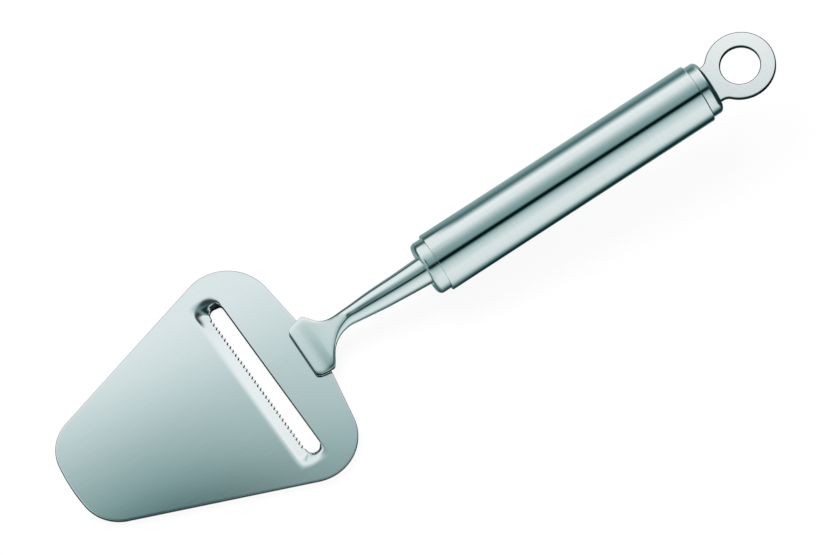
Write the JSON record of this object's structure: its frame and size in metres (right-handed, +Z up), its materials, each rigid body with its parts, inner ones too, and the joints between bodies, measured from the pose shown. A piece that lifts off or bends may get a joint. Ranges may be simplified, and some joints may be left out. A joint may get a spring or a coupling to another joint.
{
  "type": "cheese slicer",
  "caption": "Hand-held cheese slicer: flat tapered blade with a serrated slicing slot, bent shank, round tube handle and a flat hanging eye, all in brushed stainless steel.",
  "frame": {"origin": "on the flat underside of the blade, in the middle of the sole between the slicing slot and the rear edge", "axes": "+X from the blade's tip towards the handle and its eye, +Y across the blade, +Z up out of the blade's top face"},
  "size_m": [0.2457, 0.0762, 0.0398],
  "materials": {
    "blade_steel": "fine satin sheet, brighter towards one side",
    "shank_steel": "polished satin",
    "cap_steel": "polished satin",
    "tube_steel": "satin, brushed around the tube",
    "eye_steel": "satin sheet with softened rims",
    "weld_metal": "as welded"
  },
  "bodies": {
    "root": {"blade": "blade_steel", "shank": "shank_steel", "shank_weld": "weld_metal", "front_cap": "cap_steel", "handle_tube": "tube_steel", "rear_cap": "cap_steel", "eye_weld": "weld_metal", "hanging_eye": "eye_steel"}
  },
  "joints": []
}
